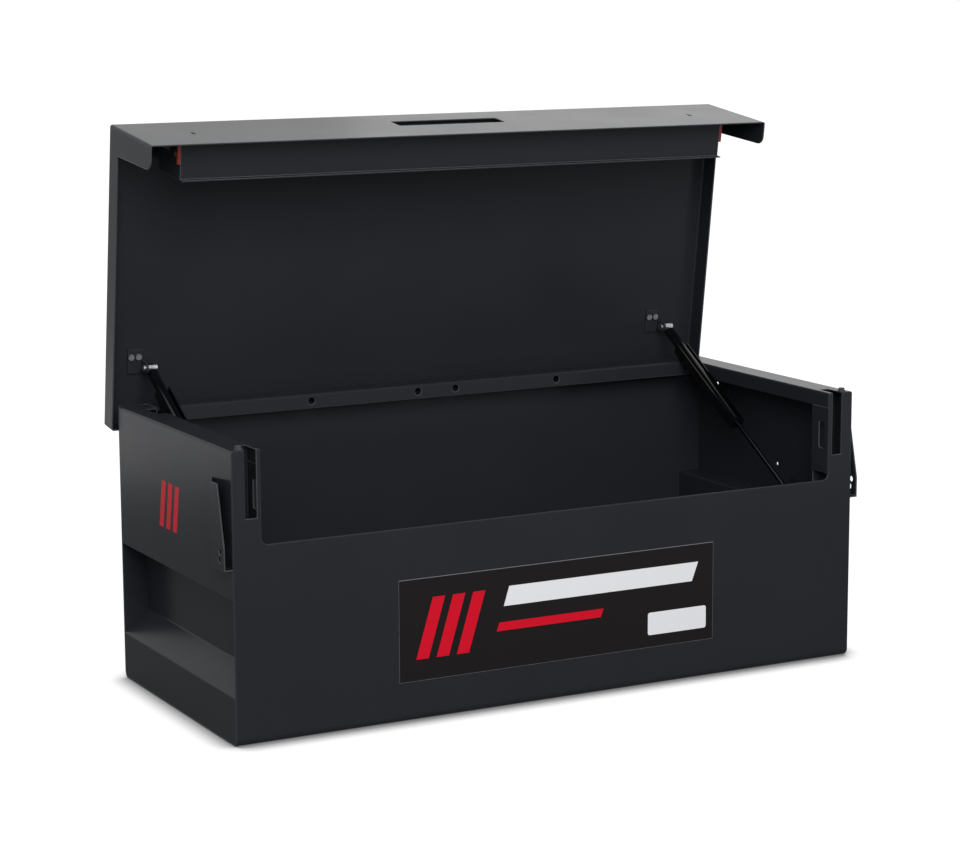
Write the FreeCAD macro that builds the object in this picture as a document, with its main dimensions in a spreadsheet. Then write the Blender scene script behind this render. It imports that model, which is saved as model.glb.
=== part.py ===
import FreeCAD, Part
import Sketcher
import math
import os
import re

# Folded-steel storage box for site tools: an open body with hand-hold recesses in its ends, and a lid with a
# deep front lip that drops over the front wall and is held by two keyed deadlocks.
# X runs along the box, Y from front to back, Z up. The origin is the middle of the body's footprint, on the
# floor. The lid stands open; its pieces are drawn shut and then swung open about the hinge pin.

SIZES = {
    # body shell
    "body_width": 1138.0,
    "body_depth": 474.0,
    "body_height": 460.0,
    "sheet": 2.0,
    "fold_radius": 4.0,
    "edge_round": 1.4,
    "base_bend_radius": 12.0,
    "base_flange": 30.0,
    # opening in the front wall and the two pillars beside it
    "opening_depth": 148.0,
    "opening_corner": 10.0,
    "pillar_width": 48.0,
    "pillar_depth": 48.0,
    "slot_margin": 7.5,
    "slot_width": 18.5,
    "slot_depth": 106.0,
    "slot_reach": 40.0,
    "slot_corner": 8.0,
    "bolt_hole_width": 18.0,
    "bolt_hole_height": 46.0,
    "bolt_hole_corner": 4.0,
    # hand-hold recesses in the ends
    "recess_depth": 42.0,
    "recess_ceiling": 248.0,
    "ramp_high": 113.0,
    "ramp_low": 77.0,
    "grip_drop": 16.0,
    # channel-shaped rim round the mouth: a flat top with its inner edge turned down
    "rim_back_width": 43.0,
    "rim_lip": 25.0,
    "rim_hole_radius": 6.3,
    "notch_depth": 20.0,
    "notch_gap": 4.0,
    "notch_drop": 8.0,
    # vent slots and hole in the right side wall
    "vent_back_offset": 62.5,
    "vent_pitch": 12.4,
    "vent_drop": 46.7,
    "vent_width": 8.0,
    "vent_length": 14.0,
    "cable_hole_offset": 20.6,
    "cable_hole_drop": 160.0,
    "cable_hole_radius": 3.0,
    # guards that cover the lid's cheeks
    "guard_gap": 12.3,
    "guard_front": 1.5,
    "guard_fold": 46.0,
    "guard_end": 80.0,
    "guard_foot_drop": 184.0,
    "guard_top_drop": 52.0,
    "guard_knee_drop": 150.0,
    "guard_slope": 22.5,
    "guard_hole_radius": 5.0,
    "guard_hole_low_drop": 168.0,
    "guard_hole_low_inset": 20.0,
    "guard_hole_high_drop": 155.0,
    "guard_hole_high_inset": 16.0,
    # round rubber buffers on the pillars
    "buffer_radius": 5.0,
    "buffer_height": 5.5,
    "buffer_base_radius": 6.5,
    "buffer_base_height": 1.5,
    "buffer_inset": 15.5,
    "buffer_setback": 10.0,
    # lid panel
    "lid_gap": 2.0,
    "lip_gap": 3.0,
    "side_gap": 4.0,
    "rear_gap": 26.0,
    "lip_depth": 182.0,
    "skirt_depth": 38.0,
    "cheek_upper_width": 45.5,
    "cheek_lower_width": 40.5,
    "cheek_corner": 16.0,
    "lid_fold_radius": 4.0,
    "handle_length": 200.0,
    "handle_height": 38.0,
    "handle_drop": 60.0,
    "handle_corner": 4.0,
    "key_inset": 38.0,
    "key_slot_width": 5.0,
    "key_slot_height": 16.0,
    "key_slot_drop": 90.0,
    # hinge
    "hinge_setback": 16.5,
    "hinge_drop": 32.8,
    "knuckle_radius": 5.0,
    "hinge_end_gap": 21.0,
    "knuckle_count": 9.0,
    "knuckle_gap": 0.3,
    "pin_radius": 3.0,
    "pin_clearance": 0.05,
    "pin_head_radius": 4.6,
    "pin_head_length": 1.5,
    "leaf_thickness": 2.0,
    "body_leaf_height": 24.0,
    "lid_leaf_height": 26.0,
    "strip_thickness": 3.0,
    "strip_height": 25.0,
    "strip_drop": 7.0,
    "hinge_bolt_radius": 4.0,
    "hinge_bolt_clearance": 0.2,
    "hinge_bolt_inner": 36.5,
    "hinge_bolt_middle": 238.5,
    "hinge_bolt_end_gap": 55.5,
    "bolt_head_radius": 6.0,
    "bolt_head_height": 3.5,
    "nut_radius": 7.5,
    "nut_height": 6.0,
    # lock case under the lip
    "case_end_gap": 13.0,
    "case_drop": 50.0,
    "case_height": 91.0,
    "case_depth": 65.0,
    "case_flange": 10.0,
    # deadlocks
    "lock_length": 66.0,
    "lock_depth": 44.0,
    "lock_rise": 23.0,
    "lock_fall": 36.0,
    "lock_bolt_drop": 77.0,
    "lock_bolt_setback": 23.5,
    "lock_bolt_height": 33.0,
    "lock_bolt_thickness": 12.0,
    "lock_bolt_length": 62.0,
    "lock_bolt_clearance": 0.3,
    "lock_bolt_nose": 3.0,
    "barrel_radius": 4.8,
    "barrel_length": 13.0,
    "barrel_clearance": 0.05,
    "barrel_inset": 1.0,
    "keyway_width": 1.6,
    "keyway_height": 6.0,
    "keyway_depth": 9.0,
    # guide pads on the ends of the case
    "pad_thickness": 5.0,
    "pad_width": 31.0,
    "pad_bead": 5.0,
    "pad_setback": 10.0,
    "pad_corner": 1.5,
    "pad_tab_thickness": 2.5,
    "pad_tab_width": 14.0,
    "pad_tab_length": 10.0,
    "pad_screw_radius": 4.0,
    "pad_screw_head": 3.0,
    "pad_screw_shank": 2.0,
    # gas struts
    "strut_inset": 64.0,
    "upper_pivot_setback": 407.0,
    "upper_pivot_drop": 24.0,
    "lower_pivot_inset": 100.0,
    "lower_pivot_rise": 33.0,
    "cylinder_radius": 9.0,
    "cylinder_length": 258.0,
    "cylinder_start": 15.0,
    "cylinder_base": 12.0,
    "rod_radius": 4.0,
    "rod_hidden": 120.0,
    "eye_radius": 9.0,
    "eye_width": 10.0,
    "eye_neck_radius": 4.7,
    "rod_eye_radius": 8.0,
    "stud_radius": 4.0,
    "stud_clearance": 0.05,
    "stud_head_height": 4.0,
    "shroud_start": 62.0,
    "shroud_wall": 1.5,
    "shroud_gap": 1.0,
    "shroud_height": 19.0,
    "clip_length": 7.0,
    # strut brackets
    "bracket_sheet": 3.0,
    "bracket_gap": 0.3,
    "upper_base_width": 26.0,
    "upper_base_front": 28.0,
    "upper_base_back": 14.0,
    "upper_ear_half": 10.0,
    "upper_bolt_spacing": 13.0,
    "upper_bolt_setback": 15.0,
    "upper_bolt_head_radius": 5.2,
    "upper_bolt_head_height": 3.5,
    "lower_base_width": 34.0,
    "lower_half_length": 16.0,
    "lower_wall_gap": 1.0,
    "lower_spacer_radius": 7.0,
    # how far the lid stands open
    "open_angle": 82.36,
}

doc = FreeCAD.newDocument("StorageBox")
sheet = doc.addObject("Spreadsheet::Sheet", "Sizes")
for row, (alias, number) in enumerate(SIZES.items(), start=1):
    sheet.set(f"A{row}", alias)
    sheet.set(f"B{row}", str(number))
    sheet.setAlias(f"B{row}", alias)
doc.recompute()

NODES = []

# Places that several pieces share, as expressions of the sheet's cells.
SIDE = "(body_width / 2)"
FRONT = "(-body_depth / 2)"
BACK = "(body_depth / 2)"
FLOOR = "0"
PILLAR = "(body_width / 2 - pillar_width)"
RIM_FOOT = "(body_height - rim_lip)"
SLOT_NEAR = "(body_width / 2 - pillar_width + slot_margin)"
SLOT_FAR = "(body_width / 2 - pillar_width + slot_margin + slot_width)"
OPENING_FOOT = "(body_height - opening_depth)"
GUARD_FOOT = "(body_height - guard_foot_drop)"
GUARD_TOP = "(body_height - guard_top_drop)"
GUARD_KNEE = "(body_height - guard_knee_drop)"
LID_TOP = "(body_height + lid_gap + sheet)"
LIP = "(-body_depth / 2 - lip_gap - sheet)"
REAR = "(body_depth / 2 + rear_gap + sheet)"
LID_SIDE = "(body_width / 2 + side_gap + sheet)"
HINGE_Y = "(body_depth / 2 + hinge_setback)"
HINGE_Z = "(body_height - hinge_drop)"
HINGE_HALF = "(body_width / 2 - hinge_end_gap)"
KNUCKLE = "((body_width / 2 - hinge_end_gap) / knuckle_count)"
STRIP_TOP = "(body_height - strip_drop)"
RIM_HOLE_Z = "(body_height - rim_lip / 2)"
HINGE_BOLT_Z = "(body_height - strip_drop - strip_height / 2)"
CASE_END = "(body_width / 2 - pillar_width - case_end_gap)"
KEY_X = f"({CASE_END} - key_inset)"
LOCK_Y = f"({LIP} + lock_bolt_setback)"
LOCK_Z = f"({LID_TOP} - lock_bolt_drop)"
UPPER_Y = f"({LIP} + upper_pivot_setback)"
UPPER_Z = f"({LID_TOP} - upper_pivot_drop)"
LOWER_Y = f"({FRONT} + lower_pivot_inset)"
LOWER_Z = "(recess_ceiling + lower_pivot_rise)"
STRUT_X = "(body_width / 2 - strut_inset)"
GUARD_X = f"({SIDE} + guard_gap + sheet)"
HINGE_HOLE = "hinge_bolt_radius + hinge_bolt_clearance"
HINGE_BOLTS = [
    sign + offset
    for offset in ("hinge_bolt_inner", "hinge_bolt_middle", "(body_width / 2 - hinge_bolt_end_gap)")
    for sign in ("-", "")
]


def cells(text):
    """Turn the names in an expression into references to the sheet."""
    return re.sub(r"[a-z]\w+", lambda word: f"Sizes.{word[0]}" if word[0] in SIZES else word[0], text)


def value(text):
    """The number that an expression has now."""
    return float(sheet.evalExpression(cells(text)))


# ---------------------------------------------------------------- solids made by primitives and booleans


def box(name, x, y, z):
    """A block between two places along each axis."""
    block = doc.addObject("Part::Box", name)
    for side, axis, (low, high) in (("Length", "x", x), ("Width", "y", y), ("Height", "z", z)):
        block.setExpression(side, cells(f"({high}) - ({low})"))
        block.setExpression(f"Placement.Base.{axis}", cells(low))
    return block


def round_bar(name, axis, centre, radius, low, high):
    """A cylinder along X or Y; centre holds its other two coordinates."""
    bar = doc.addObject("Part::Cylinder", name)
    bar.setExpression("Radius", cells(radius))
    bar.setExpression("Height", cells(f"({high}) - ({low})"))
    turn = {"x": (FreeCAD.Vector(0, 1, 0), 90), "y": (FreeCAD.Vector(1, 0, 0), -90)}[axis]
    bar.Placement = FreeCAD.Placement(FreeCAD.Vector(), FreeCAD.Rotation(*turn))
    for letter, place in zip("xyz".replace(axis, ""), centre):
        bar.setExpression(f"Placement.Base.{letter}", cells(place))
    bar.setExpression(f"Placement.Base.{axis}", cells(low))
    return bar


def fuse(name, *shapes):
    """One solid out of several."""
    joined = doc.addObject("Part::MultiFuse", name)
    joined.Shapes = list(shapes)
    joined.Refine = True
    return joined


def cut(name, base, *tools):
    """A solid with others taken out of it."""
    tool = tools[0]
    if len(tools) > 1:
        tool = fuse(name + "_tools", *tools)
    result = doc.addObject("Part::Cut", name)
    result.Base = base
    result.Tool = tool
    result.Refine = True
    return result


def group(name, *shapes):
    """Separate solids kept in one piece of the document."""
    together = doc.addObject("Part::Compound", name)
    together.Links = list(shapes)
    return together


def mirrored(name, source):
    """The same piece for the other end of the box."""
    copy = doc.addObject("Part::Mirroring", name)
    copy.Source = source
    copy.Normal = FreeCAD.Vector(1, 0, 0)
    return copy


# ---------------------------------------------------------------- solids made by sketches


PLANES = {"x": "YZ_Plane", "y": "XZ_Plane", "z": "XY_Plane"}


def new_body(name):
    return doc.addObject("PartDesign::Body", name)


def plane_sketch(body, name, axis, place):
    """A sketch across an axis at one place along it."""
    sketch = body.newObject("Sketcher::SketchObject", name)
    plane = next(item for item in body.Origin.OriginFeatures if item.Role == PLANES[axis])
    sketch.AttachmentSupport = (plane, "")
    sketch.MapMode = "FlatFace"
    # the plane across Y looks towards the front, so its offset counts the other way
    offset = f"-({place})" if axis == "y" else place
    sketch.setExpression("AttachmentOffset.Base.z", cells(offset))
    return sketch


def draw_outline(sketch, corners):
    """A closed run of straight lines whose corners are tied to the sheet."""
    spots = [FreeCAD.Vector(value(across), value(up), 0) for across, up in corners]
    count = len(corners)
    for index in range(count):
        sketch.addGeometry(Part.LineSegment(spots[index], spots[(index + 1) % count]), False)
    for index in range(count):
        sketch.addConstraint(Sketcher.Constraint("Coincident", index, 2, (index + 1) % count, 1))
    for index, (across, up) in enumerate(corners):
        for kind, text, number in (("DistanceX", across, spots[index].x), ("DistanceY", up, spots[index].y)):
            which = sketch.addConstraint(Sketcher.Constraint(kind, -1, 1, index, 1, number))
            sketch.setExpression(f"Constraints[{which}]", cells(text))


def draw_circle(sketch, centre, radius):
    """A circle tied to the sheet."""
    middle = FreeCAD.Vector(value(centre[0]), value(centre[1]), 0)
    index = sketch.addGeometry(Part.Circle(middle, FreeCAD.Vector(0, 0, 1), value(radius)), False)
    rules = (
        (Sketcher.Constraint("DistanceX", -1, 1, index, 3, middle.x), centre[0]),
        (Sketcher.Constraint("DistanceY", -1, 1, index, 3, middle.y), centre[1]),
        (Sketcher.Constraint("Radius", index, value(radius)), radius),
    )
    for rule, text in rules:
        which = sketch.addConstraint(rule)
        sketch.setExpression(f"Constraints[{which}]", cells(text))


def extrude(body, name, axis, low, high, draw, remove=False):
    """Pad or pocket a sketch between two places along an axis."""
    # a pad grows along the sketch's normal and a pocket against it; the plane across Y looks to -Y
    start = high if (axis == "y") != remove else low
    sketch = plane_sketch(body, name + "_sketch", axis, start)
    draw(sketch)
    doc.recompute()
    before = body.Shape.Volume if remove else 0.0
    feature = body.newObject("PartDesign::Pocket" if remove else "PartDesign::Pad", name)
    feature.Profile = sketch
    feature.setExpression("Length", cells(f"({high}) - ({low})"))
    feature.Refine = True
    doc.recompute()
    if remove and not body.Shape.Volume < before:
        raise RuntimeError(f"{name} removes nothing")
    return feature


def plate(body, name, axis, corners, low, high, remove=False):
    """An outline pushed through the body, added or removed."""
    return extrude(body, name, axis, low, high, lambda sketch: draw_outline(sketch, corners), remove)


def disc(body, name, axis, centre, radius, low, high, remove=False):
    """A circle pushed through the body, added or removed."""
    return extrude(body, name, axis, low, high, lambda sketch: draw_circle(sketch, centre, radius), remove)


def rectangle(x, y):
    return [(x[0], y[0]), (x[1], y[0]), (x[1], y[1]), (x[0], y[1])]


def round_edges(body, name, radius, axis, spots):
    """Round the edges that run along an axis through the given spots of the plane across it."""
    doc.recompute()
    base = body.Tip
    others = [index for index in range(3) if "xyz"[index] != axis]
    along = "xyz".index(axis)
    places = [(value(first), value(second)) for first, second in spots]
    names = []
    for number, edge in enumerate(base.Shape.Edges, start=1):
        ends = [vertex.Point for vertex in edge.Vertexes]
        if len(ends) != 2 or abs(ends[0][along] - ends[1][along]) < edge.Length - 1e-4:
            continue
        if any(all(abs(ends[0][i] - place[k]) < 1e-4 for k, i in enumerate(others)) for place in places):
            names.append(f"Edge{number}")
    if not names:
        raise RuntimeError(f"{name} finds no edge")
    fillet = body.newObject("PartDesign::Fillet", name)
    fillet.Base = (base, names)
    fillet.setExpression("Radius", cells(radius))
    doc.recompute()
    if "Invalid" in fillet.State:
        raise RuntimeError(f"{name} could not be made")


def keep(piece, label):
    """Enter a finished piece under the name it is known by."""
    piece.Label = label
    NODES.append(piece)
    return piece


def keep_pair(piece, label):
    """Enter the right-hand piece and its mirror image on the left."""
    keep(piece, "right_" + label)
    keep(mirrored("left_" + label + "_piece", piece), "left_" + label)


# ---------------------------------------------------------------- body shell


INNER_FOLD = "(fold_radius - sheet)"
# a sheet's own edge can be rounded by less than its thickness
EDGE_ROUND = "min(edge_round; 0.8 * sheet)"


def wall_profile(face, inward):
    """Section of the front or back wall with the bend and flange at its foot."""
    inner = f"{face} {inward} sheet"
    flange = f"{face} {inward} base_flange"
    return [(face, "body_height"), (face, FLOOR), (flange, FLOOR), (flange, "sheet"), (inner, "sheet"),
            (inner, "body_height")]


def round_base_bend(body, name, face, inward):
    """Round the bend between a wall and its foot flange on both sides of the sheet."""
    inner = f"{face} {inward} sheet"
    round_edges(body, name + "_inside", "base_bend_radius - sheet", "x", [(inner, "sheet")])
    round_edges(body, name + "_outside", "base_bend_radius", "x", [(face, FLOOR)])


def make_front_panel():
    body = new_body("front_panel_body")
    plate(body, "front_wall", "x", wall_profile(FRONT, "+"), f"-{SIDE}", SIDE)
    round_base_bend(body, "front_bend", FRONT, "+")
    through = (f"{FRONT} - sheet", f"{FRONT} + 2 * sheet")
    above = "body_height + sheet"
    opening = rectangle((f"-{PILLAR}", PILLAR), (OPENING_FOOT, above))
    plate(body, "front_opening", "y", opening, *through, remove=True)
    corners = [(f"-{PILLAR}", OPENING_FOOT), (PILLAR, OPENING_FOOT)]
    round_edges(body, "opening_corners", "opening_corner", "y", corners)
    slot_foot = "body_height - slot_depth"
    for sign, end in (("", "right"), ("-", "left")):
        slot = rectangle((sign + SLOT_NEAR, sign + SLOT_FAR), (slot_foot, above))
        plate(body, f"{end}_slot", "y", slot, *through, remove=True)
    leads = [(SLOT_FAR, "body_height"), ("-" + SLOT_FAR, "body_height")]
    round_edges(body, "slot_lead", "slot_corner", "y", leads)
    # the sheet beside the opening is folded back to make the inner face of each pillar
    fold_foot = f"{OPENING_FOOT} + opening_corner"
    tops = [(sign + place, "body_height") for place in (PILLAR, SIDE) for sign in ("", "-")]
    round_edges(body, "end_tops", "fold_radius", "y", tops)
    for sign, end in (("", "right"), ("-", "left")):
        fold = rectangle((sign + PILLAR, f"{sign}({PILLAR} + sheet)"), (FRONT, f"{FRONT} + pillar_depth"))
        plate(body, f"{end}_pillar_fold", "z", fold, fold_foot, RIM_FOOT)
    hole = rectangle(
        (f"{LOCK_Y} - bolt_hole_width / 2", f"{LOCK_Y} + bolt_hole_width / 2"),
        (f"{LOCK_Z} - bolt_hole_height / 2", f"{LOCK_Z} + bolt_hole_height / 2"),
    )
    for sign, end in (("", "right"), ("-", "left")):
        past = (f"{sign}{PILLAR} - 2 * sheet", f"{sign}{PILLAR} + 2 * sheet")
        plate(body, f"{end}_bolt_hole", "x", hole, *past, remove=True)
    round_edges(body, "bolt_hole_corners", "bolt_hole_corner", "x", hole)
    for name, place in (("opening_edge", PILLAR), ("corner_edge", SIDE)):
        round_edges(body, name, EDGE_ROUND, "z", [(place, FRONT), ("-" + place, FRONT)])
    keep(body, "front_panel")


def make_back_panel():
    body = new_body("back_panel_body")
    plate(body, "back_wall", "x", wall_profile(BACK, "-"), f"-{SIDE}", SIDE)
    round_base_bend(body, "back_bend", BACK, "-")
    lip = f"({BACK} - rim_back_width)"
    lip_back = f"({lip} + sheet)"
    under = "body_height - sheet"
    corners = [(SIDE, "body_height"), ("-" + SIDE, "body_height")]
    round_edges(body, "back_corners", "fold_radius", "y", corners)
    rim = [(BACK, under), (BACK, "body_height"), (lip, "body_height"), (lip, RIM_FOOT), (lip_back, RIM_FOOT),
           (lip_back, under)]
    plate(body, "back_rim", "x", rim, f"-{PILLAR}", PILLAR)
    round_edges(body, "rim_fold", "fold_radius", "x", [(lip, "body_height")])
    round_edges(body, "rim_fold_root", INNER_FOLD, "x", [(lip_back, under)])
    for number, place in enumerate(HINGE_BOLTS):
        centre = (place, HINGE_BOLT_Z)
        disc(body, f"hinge_hole_{number}", "y", centre, HINGE_HOLE, f"{BACK} - 2 * sheet", f"{BACK} + sheet",
             remove=True)
        disc(body, f"rim_hole_{number}", "y", (place, RIM_HOLE_Z), "rim_hole_radius", f"{lip} - sheet",
             f"{lip_back} + sheet", remove=True)
    keep(body, "back_panel")


def make_floor_pan():
    keep(box("floor_pan_sheet", (f"-{SIDE}", SIDE), (f"{FRONT} + base_flange", f"{BACK} - base_flange"),
             (FLOOR, "sheet")), "floor_pan")


def make_side_panels():
    """Each side wall and its rim in one folded sheet; the left rim is notched to clear the strut's bracket."""
    body = new_body("side_panel_body")
    grip_foot = "recess_ceiling - sheet - grip_drop"
    outer = f"{SIDE} - sheet"
    inner = f"{PILLAR} + sheet"
    under = "body_height - sheet"
    section = [(SIDE, grip_foot), (SIDE, "body_height"), (PILLAR, "body_height"), (PILLAR, RIM_FOOT),
               (inner, RIM_FOOT), (inner, under), (outer, under), (outer, grip_foot)]
    plate(body, "side_sheet", "y", section, f"{FRONT} + sheet", f"{BACK} - sheet")
    round_edges(body, "rim_folds", "fold_radius", "y", section[1:3])
    round_edges(body, "rim_fold_roots", INNER_FOLD, "y", section[5:7])
    slot = rectangle((SLOT_NEAR, SLOT_FAR), (FRONT, f"{FRONT} + slot_reach"))
    plate(body, "rim_slot", "z", slot, f"{under} - sheet", "body_height + sheet", remove=True)
    notch_span = (f"{UPPER_Y} - upper_base_front - notch_gap", f"{UPPER_Y} + upper_base_back + notch_gap")
    notch = box("bracket_notch", (f"-({PILLAR} + notch_depth)", f"-({PILLAR} - sheet)"), notch_span,
                ("body_height - notch_drop", "body_height + sheet"))
    keep(cut("left_side_notched", mirrored("left_side_sheet", body), notch), "left_side_panel")
    across = (f"{outer} - sheet", f"{SIDE} + sheet")
    vents = [upright_slot(f"vent_{number}", f"({BACK} - vent_back_offset + {number} * vent_pitch)", across)
             for number in range(2)]
    cable_place = ("-cable_hole_offset", "body_height - cable_hole_drop")
    cable_hole = round_bar("cable_hole", "x", cable_place, "cable_hole_radius", *across)
    keep(cut("right_side_sheet", body, *vents, cable_hole), "right_side_panel")


def upright_slot(name, middle, across):
    """Tool for a vent slot with round ends."""
    high = "(body_height - vent_drop)"
    straight = "((vent_length - vent_width) / 2)"
    block = box(f"{name}_block", across, (f"{middle} - vent_width / 2", f"{middle} + vent_width / 2"),
                (f"{high} - {straight}", f"{high} + {straight}"))
    ends = [round_bar(f"{name}_end_{number}", "x", (middle, f"{high} {sign} {straight}"), "vent_width / 2",
                      *across)
            for number, sign in enumerate("-+")]
    return fuse(name, block, *ends)


def make_recess_liners():
    """One folded sheet: end wall below the recess, ramp, inner wall and ceiling."""
    body = new_body("recess_liner_body")
    slope = "((ramp_high - ramp_low) / recess_depth)"
    shift = f"sheet * {slope} - sheet * sqrt(1 + {slope}^2)"
    outer_wall = SIDE
    inner_wall = f"{SIDE} - recess_depth"
    ceiling_edge = f"{SIDE} - sheet"
    outside = [(outer_wall, "sheet"), (outer_wall, "ramp_low"), (inner_wall, "ramp_high"),
               (inner_wall, "recess_ceiling - sheet"), (ceiling_edge, "recess_ceiling - sheet")]
    inside = [(ceiling_edge, "recess_ceiling"), (f"{inner_wall} - sheet", "recess_ceiling"),
              (f"{inner_wall} - sheet", f"ramp_high + {shift}"), (ceiling_edge, f"ramp_low + {shift}"),
              (ceiling_edge, "sheet")]
    plate(body, "recess_wall", "y", outside + inside, f"{FRONT} + sheet", f"{BACK} - sheet")
    round_edges(body, "recess_folds", "fold_radius", "y", [outside[1], inside[1], inside[2]])
    round_edges(body, "recess_fold_roots", INNER_FOLD, "y", [outside[2], outside[3], inside[3]])
    foot = [(f"{FRONT} + sheet", "sheet"), (f"{BACK} - sheet", "sheet")]
    round_edges(body, "recess_feet", "base_bend_radius - sheet", "x", foot)
    keep_pair(body, "recess_liner")


def make_pillar_backs():
    """Upright plate behind the slot that closes each pillar."""
    rear = f"{FRONT} + pillar_depth"
    keep_pair(box("pillar_rear_wall", (f"{PILLAR} + sheet", f"{SIDE} - sheet"), (f"{rear} - sheet", rear),
                  ("recess_ceiling", "body_height - fold_radius")), "pillar_back")


def make_cheek_guards():
    """Plate held clear of the side wall, with a slanting web behind it and a closed foot."""
    body = new_body("cheek_guard_body")
    steep = "((guard_end - guard_fold) / (guard_gap + sheet))"
    shift = f"sheet * sqrt(1 + {steep}^2)"
    front = f"{FRONT} + guard_front"
    fold = f"{FRONT} + guard_fold"
    end = f"{FRONT} + guard_end"
    plate_inner = f"{GUARD_X} - sheet"
    web_root = f"{fold} + sheet * {steep} - {shift}"
    web_end = (SIDE, f"{end} - {shift}")
    plan = [(GUARD_X, front), (GUARD_X, fold), (SIDE, end), web_end, (plate_inner, web_root),
            (plate_inner, front)]
    plate(body, "guard_wall", "z", plan, GUARD_FOOT, GUARD_TOP)
    round_edges(body, "guard_fold_outside", "fold_radius", "z", [plan[1]])
    round_edges(body, "guard_fold_inside", INNER_FOLD, "z", [plan[4]])
    tab = [(SIDE, front), (plate_inner, front), (plate_inner, web_root), web_end]
    plate(body, "guard_foot", "z", tab, GUARD_FOOT, f"{GUARD_FOOT} + sheet")
    ahead = f"{FRONT} - guard_front"
    top = f"{GUARD_TOP} + sheet"
    slanted = [(ahead, GUARD_KNEE), (front, GUARD_KNEE), (f"{front} + guard_slope", GUARD_TOP),
               (f"{front} + guard_slope", top), (ahead, top)]
    across = (f"{SIDE} - sheet", f"{GUARD_X} + sheet")
    plate(body, "guard_nose", "x", slanted, *across, remove=True)
    low_hole = (f"{FRONT} + guard_hole_low_inset", "body_height - guard_hole_low_drop")
    high_hole = (f"{FRONT} + guard_hole_high_inset", "body_height - guard_hole_high_drop")
    disc(body, "guard_low_hole", "x", low_hole, "guard_hole_radius", *across, remove=True)
    disc(body, "guard_high_hole", "x", high_hole, "guard_hole_radius", *across, remove=True)
    keep_pair(body, "cheek_guard")


def make_lid_buffers():
    """Round rubber buffer with a wider foot, pressed into the top of each pillar."""
    centre = (f"{SIDE} - buffer_inset", f"{FRONT} + buffer_setback")
    body = new_body("lid_buffer_body")
    foot_top = "body_height + buffer_base_height"
    top = "body_height + buffer_height"
    disc(body, "buffer_foot", "z", centre, "buffer_base_radius", "body_height", foot_top)
    disc(body, "buffer_knob", "z", centre, "buffer_radius", foot_top, top)
    keep_pair(body, "lid_buffer")


# ---------------------------------------------------------------- lid


def swing_open(piece):
    """Turn a piece drawn with the lid shut to where it lies with the lid open."""
    pivot = FreeCAD.Vector(0, value(HINGE_Y), value(HINGE_Z))
    turn = FreeCAD.Rotation(FreeCAD.Vector(1, 0, 0), -value("open_angle"))
    piece.Placement = FreeCAD.Placement(FreeCAD.Vector(), turn, pivot)
    return piece


def make_lid_panel():
    body = new_body("lid_panel_body")
    skirt = f"{LID_TOP} - skirt_depth"
    lip_foot = f"{LID_TOP} - lip_depth"
    upper = (f"{LIP} + cheek_upper_width", skirt)
    lower = (f"{LIP} + cheek_lower_width", lip_foot)
    side_view = [(LIP, lip_foot), lower, upper, (REAR, skirt), (REAR, LID_TOP), (LIP, LID_TOP)]
    plate(body, "lid_block", "x", side_view, f"-{LID_SIDE}", LID_SIDE)
    round_edges(body, "cheek_corners", "cheek_corner", "x", [lower])
    round_edges(body, "lid_front_fold", "lid_fold_radius", "x", [(LIP, LID_TOP), (REAR, LID_TOP)])
    # this rounding runs on down the upright folds, which meet the top ones smoothly
    sides = [(f"-{LID_SIDE}", LID_TOP), (LID_SIDE, LID_TOP)]
    round_edges(body, "lid_side_folds", "lid_fold_radius", "y", sides)
    inner_side = f"({LID_SIDE} - sheet)"
    inner_lip = f"{LIP} + sheet"
    inner_rear = f"{REAR} - sheet"
    hollow = rectangle((f"-{inner_side}", inner_side), (inner_lip, inner_rear))
    under = f"{LID_TOP} - sheet"
    plate(body, "lid_hollow", "z", hollow, f"{lip_foot} - sheet", under, remove=True)
    inner_fold = "(lid_fold_radius - sheet)"
    round_edges(body, "lid_lip_roots", inner_fold, "x", [(inner_lip, under), (inner_rear, under)])
    round_edges(body, "lid_side_roots", inner_fold, "y", [(f"-{inner_side}", under), (inner_side, under)])
    through = (f"{LIP} - sheet", f"{LIP} + 2 * sheet")
    handle_top = f"{LID_TOP} - handle_drop"
    handle = rectangle(("-handle_length / 2", "handle_length / 2"),
                       (f"{handle_top} - handle_height", handle_top))
    plate(body, "handle_slot", "y", handle, *through, remove=True)
    round_edges(body, "handle_corners", "handle_corner", "y", handle)
    key_top = f"{LID_TOP} - key_slot_drop"
    for sign, end in (("", "right"), ("-", "left")):
        centre = f"{sign}{KEY_X}"
        slot = rectangle((f"{centre} - key_slot_width / 2", f"{centre} + key_slot_width / 2"),
                         (f"{key_top} - key_slot_height", key_top))
        plate(body, f"{end}_key_slot", "y", slot, *through, remove=True)
        round_edges(body, f"{end}_key_slot_ends", "key_slot_width * 0.48", "y", slot)
    keep(swing_open(body), "lid_panel")


def bolt_section(room):
    """Section of the lock bolt, or of the passage that lets it through with some room."""
    thick = f"(lock_bolt_thickness / 2 + {room})"
    high = f"(lock_bolt_height / 2 + {room})"
    across = (f"{LOCK_Y} - {thick}", f"{LOCK_Y} + {thick}")
    return rectangle(across, (f"{LOCK_Z} - {high}", f"{LOCK_Z} + {high}"))


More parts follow.
